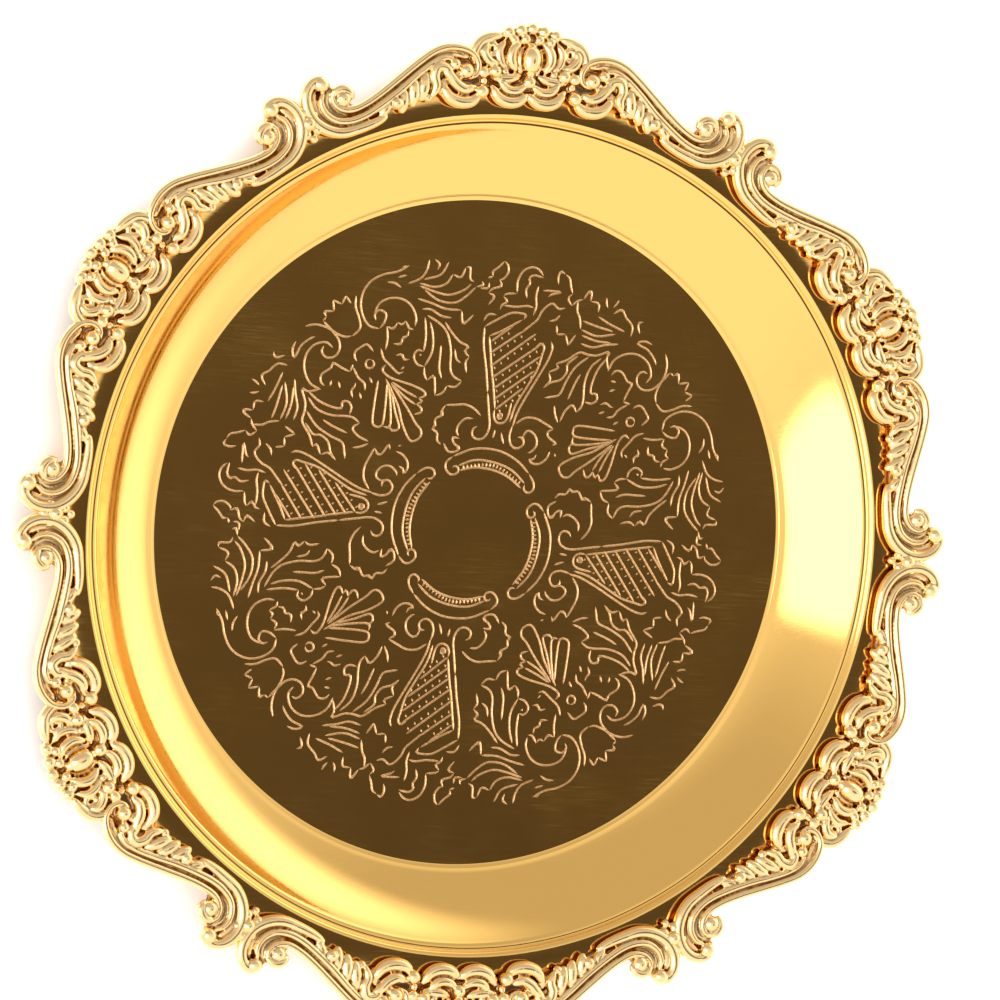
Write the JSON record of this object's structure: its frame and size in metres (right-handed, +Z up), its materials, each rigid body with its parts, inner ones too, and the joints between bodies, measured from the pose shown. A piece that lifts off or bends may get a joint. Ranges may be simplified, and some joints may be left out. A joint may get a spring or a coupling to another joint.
{
  "type": "paten plate",
  "caption": "Small round gilt paten plate: engraved flat well, curved wall, narrow flange and a cast rococo border of rosettes, scrolls and buds.",
  "frame": {"origin": "middle of the underside, on the surface that the plate rests on", "axes": "+Z up out of the dish; sector 1's rosette lies on +Y and a bud lies on +X"},
  "size_m": [0.1092, 0.1124, 0.0089],
  "materials": {
    "polished_gold": "mirror polished gilt, lightly scratched",
    "cast_gold": "polished cast relief with darker recesses"
  },
  "bodies": {
    "root": {"dish": "polished_gold", "rosette_mount_1": "cast_gold", "rosette_mount_2": "cast_gold", "rosette_mount_3": "cast_gold", "rosette_mount_4": "cast_gold", "rosette_mount_5": "cast_gold", "rosette_mount_6": "cast_gold", "right_scroll_mount_1": "cast_gold", "right_scroll_mount_2": "cast_gold", "right_scroll_mount_3": "cast_gold", "right_scroll_mount_4": "cast_gold", "right_scroll_mount_5": "cast_gold", "right_scroll_mount_6": "cast_gold", "left_scroll_mount_1": "cast_gold", "left_scroll_mount_2": "cast_gold", "left_scroll_mount_3": "cast_gold", "left_scroll_mount_4": "cast_gold", "left_scroll_mount_5": "cast_gold", "left_scroll_mount_6": "cast_gold", "bud_mount_1": "cast_gold", "bud_mount_2": "cast_gold", "bud_mount_3": "cast_gold", "bud_mount_4": "cast_gold", "bud_mount_5": "cast_gold", "bud_mount_6": "cast_gold"}
  },
  "joints": []
}
